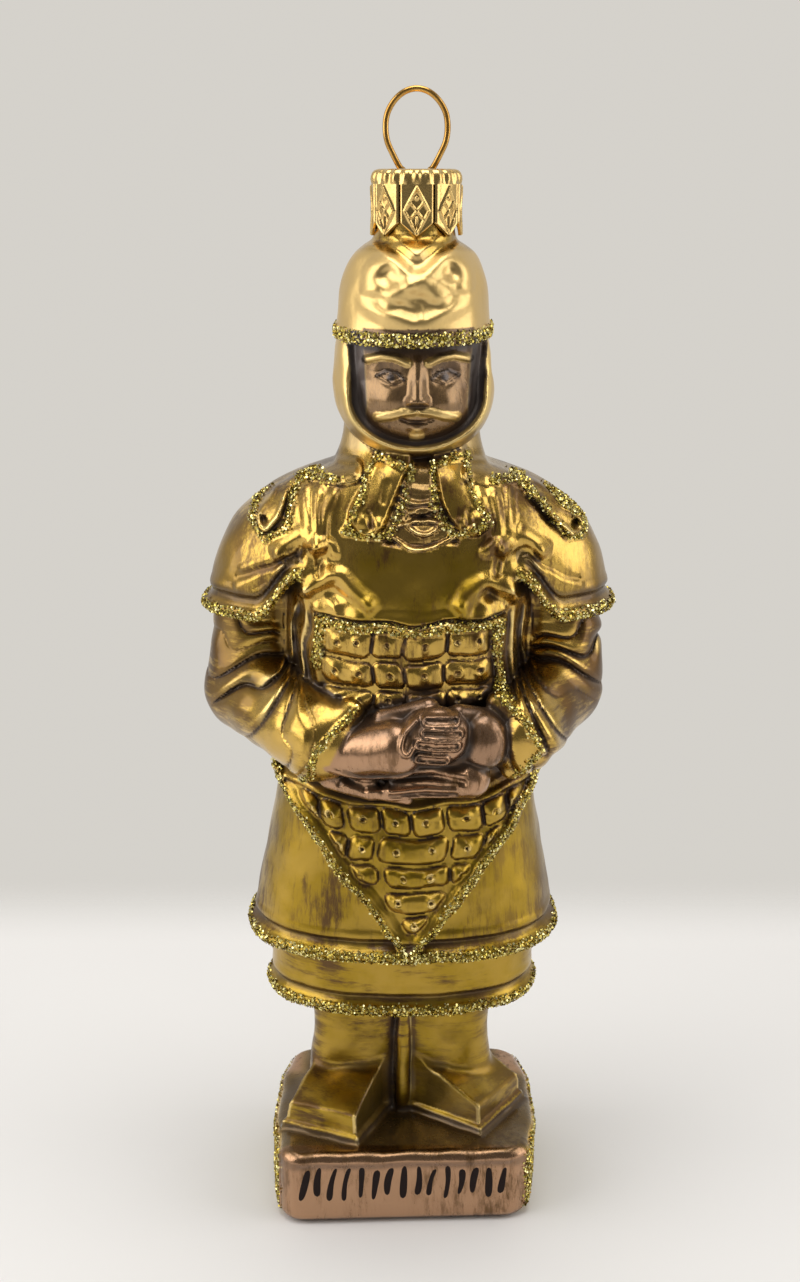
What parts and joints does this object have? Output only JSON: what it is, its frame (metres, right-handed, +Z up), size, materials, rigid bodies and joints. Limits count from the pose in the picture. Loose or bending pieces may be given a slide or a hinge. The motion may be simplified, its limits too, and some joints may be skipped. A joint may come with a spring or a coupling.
{
  "type": "glass warrior ornament",
  "caption": "Hollow mouth-blown glass ornament shaped as an armoured warrior standing on a plinth, with a pressed metal crown cap and a wire loop to hang it by.",
  "frame": {"origin": "the middle of the bounding box's underside, on the surface that the plinth stands on", "axes": "+Z up, the figure faces -Y, +X to the right of somebody who looks at its front"},
  "size_m": [0.0633, 0.0407, 0.1742],
  "materials": {
    "lacquered_glass": "silvered inside, gold lacquer with dark patina in the hollows, copper face and hands, gold glitter bands",
    "cap_metal": "thin pressed metal with a gold coat, embossed petals",
    "wire": "bright gold coloured spring wire"
  },
  "bodies": {
    "root": {"glass_figure": "lacquered_glass", "crown_cap": "cap_metal", "hanging_wire": "wire"}
  },
  "joints": []
}
